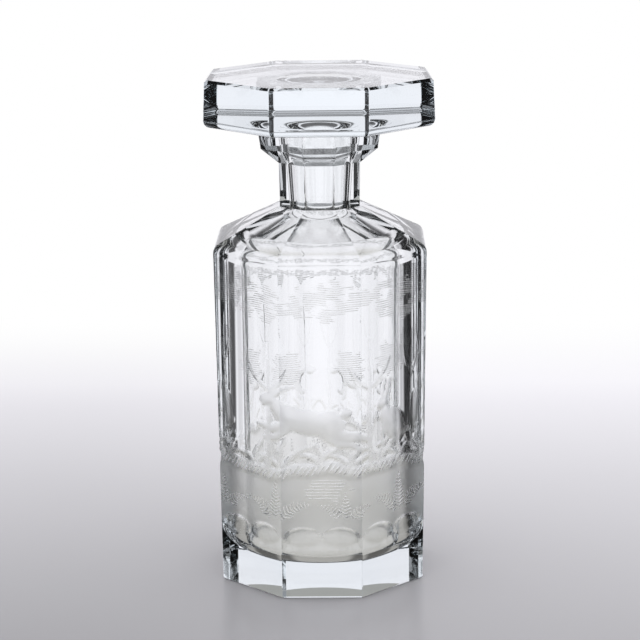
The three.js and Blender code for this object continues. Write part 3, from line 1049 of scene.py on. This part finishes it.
class DECANTER_OT_studio(bpy.types.Operator):
    """Sets up the camera, the pale table and the light"""
    bl_idname = "decanter.studio"
    bl_label = "Studio"

    def execute(self, context):
        scene = context.scene
        settings = scene.decanter_studio
        self.add_camera(scene, settings)
        self.add_table(scene, settings)
        self.add_world(scene)
        scene.view_settings.view_transform = "Standard"
        scene.cycles.max_bounces = BOUNCES
        scene.cycles.transmission_bounces = BOUNCES
        scene.cycles.glossy_bounces = GLOSSY_BOUNCES
        return {"FINISHED"}

    def add_camera(self, scene, settings):
        """The camera, in the photograph's place."""
        camera = bpy.data.objects.new("camera", bpy.data.cameras.new("camera"))
        scene.collection.objects.link(camera)
        camera.data.sensor_width = SENSOR_WIDTH
        camera.data.lens = settings.camera_lens
        turn = (
            Matrix.Rotation(settings.camera_yaw, 4, "Z")
            @ Matrix.Rotation(math.pi / 2 - settings.camera_pitch, 4, "X")
            @ Matrix.Rotation(settings.camera_roll, 4, "Z"))
        camera.matrix_world = Matrix.Translation(settings.camera_place) @ turn
        scene.camera = camera

    def add_table(self, scene, settings):
        """The table, a hair under the foot."""
        bm = bmesh.new()
        bmesh.ops.create_grid(bm, x_segments=1, y_segments=1, size=TABLE_REACH)
        mesh = bpy.data.meshes.new("table")
        bm.to_mesh(mesh)
        bm.free()
        mesh.transform(Matrix.Translation((0, 0, -settings.foot_gap)))
        table = bpy.data.objects.new("table", mesh)
        scene.collection.objects.link(table)
        table.data.materials.append(self.table_material())

    def table_material(self):
        """Satin white, darker near the camera and on the left by painted shade, that runs out into the white
        surround.
        """
        material = bpy.data.materials.new("table_acrylic")
        material.use_nodes = True
        tree = material.node_tree
        sheet = NodeSheet(tree)
        place = sheet.add("ShaderNodeTexCoord").outputs["Object"]
        x, y, _ = sheet.add("ShaderNodeSeparateXYZ", {0: place}).outputs
        # Painted light and shade: the brightness rises along Y, away from the camera, in two even stretches,
        # and a little from left to right.
        near = sheet.ramp(y, -0.12, 0.12, 0.42, 0.69, smooth=False)
        far = sheet.ramp(y, 0.12, 0.30, 0.0, 0.24, smooth=False)
        side = sheet.ramp(x, -0.15, 0.07, -0.06, 0.04)
        pale = sheet.math("ADD", sheet.math("ADD", near, far), side, clamp=True)
        shader = tree.nodes["Principled BSDF"]
        tree.links.new(tinted(sheet, pale, TABLE_TINT), shader.inputs["Base Color"])
        shader.inputs["Roughness"].default_value = TABLE_ROUGHNESS
        white = sheet.add("ShaderNodeEmission", {"Color": WHITE}).outputs[0]
        runs_out = sheet.ramp(y, 0.24, 0.46)
        shaded = sheet.add("ShaderNodeMixShader", {0: runs_out, 1: shader.outputs[0], 2: white}).outputs[0]
        path = sheet.add("ShaderNodeLightPath")
        glow = self.table_glow(sheet, place, path)
        both = sheet.add("ShaderNodeMixShader", {0: from_glass(sheet, path), 1: shaded, 2: glow}).outputs[0]
        tree.links.new(both, tree.nodes["Material Output"].inputs["Surface"])
        return material

    def table_glow(self, sheet, place, path):
        """The table as the glass shows it: its own light, in shade near the foot."""
        distance = sheet.add("ShaderNodeVectorMath", {0: place}, operation="LENGTH").outputs["Value"]
        away = sheet.ramp(distance, *NEAR_FOOT)
        shade = sheet.ramp(path.outputs["Transmission Depth"], 2.2, 2.8, 0.40, 0.57, smooth=False)
        seen = sheet.math("MULTIPLY", glass_light(sheet, place, path), sheet.mix(away, shade, 1.0))
        colour = sheet.mix_colours(away, NEAR_TINT, SURROUND_TINT)
        return sheet.add("ShaderNodeEmission", {"Color": colour, "Strength": seen}).outputs[0]

    def add_world(self, scene):
        """The white surround. The glass shows it darker overhead, and more so behind the decanter."""
        world = bpy.data.worlds.new("studio")
        scene.world = world
        world.use_nodes = True
        tree = world.node_tree
        sheet = NodeSheet(tree)
        direction = sheet.add("ShaderNodeTexCoord").outputs["Generated"]
        _, y, z = sheet.add("ShaderNodeSeparateXYZ", {0: direction}).outputs
        behind = sheet.ramp(z, 0.37, 0.58, 1.0, 0.1)
        before = sheet.ramp(z, 0.32, 0.85, 1.0, 0.5)
        overhead = sheet.mix(sheet.ramp(y, -0.25, 0.15), before, behind)
        path = sheet.add("ShaderNodeLightPath")
        seen = sheet.math("MULTIPLY", glass_light(sheet, direction, path), overhead)
        colour = sheet.mix_colours(from_glass(sheet, path), WHITE, tinted(sheet, seen, SURROUND_TINT))
        tree.links.new(colour, tree.nodes["Background"].inputs["Color"])


class DECANTER_PT_panel(bpy.types.Panel):
    """Lists the decanter's operators in the sidebar"""
    bl_idname = "DECANTER_PT_panel"
    bl_label = "Decanter"
    bl_space_type = "VIEW_3D"
    bl_region_type = "UI"
    bl_category = "Decanter"

    def draw(self, context):
        for operator in OPERATORS:
            self.layout.operator(operator.bl_idname)


GROUPS = {
    "decanter_bottle": BottleSizes,
    "decanter_stopper": StopperSizes,
    "decanter_engraving": EngravingSizes,
    "decanter_glass": GlassFinish,
    "decanter_studio": StudioSettings,
}
OPERATORS = (DECANTER_OT_bottle, DECANTER_OT_stopper, DECANTER_OT_studio)


def register():
    for cls in (*GROUPS.values(), *OPERATORS, DECANTER_PT_panel):
        bpy.utils.register_class(cls)
    for name, group in GROUPS.items():
        setattr(bpy.types.Scene, name, PointerProperty(type=group))


def unregister():
    for name in GROUPS:
        delattr(bpy.types.Scene, name)
    for cls in (DECANTER_PT_panel, *reversed(OPERATORS), *reversed(GROUPS.values())):
        bpy.utils.unregister_class(cls)


def main():
    """Builds both pieces and the studio."""
    register()
    bpy.ops.decanter.bottle()
    bpy.ops.decanter.stopper()
    bpy.ops.decanter.studio()


if __name__ == "__main__":
    main()
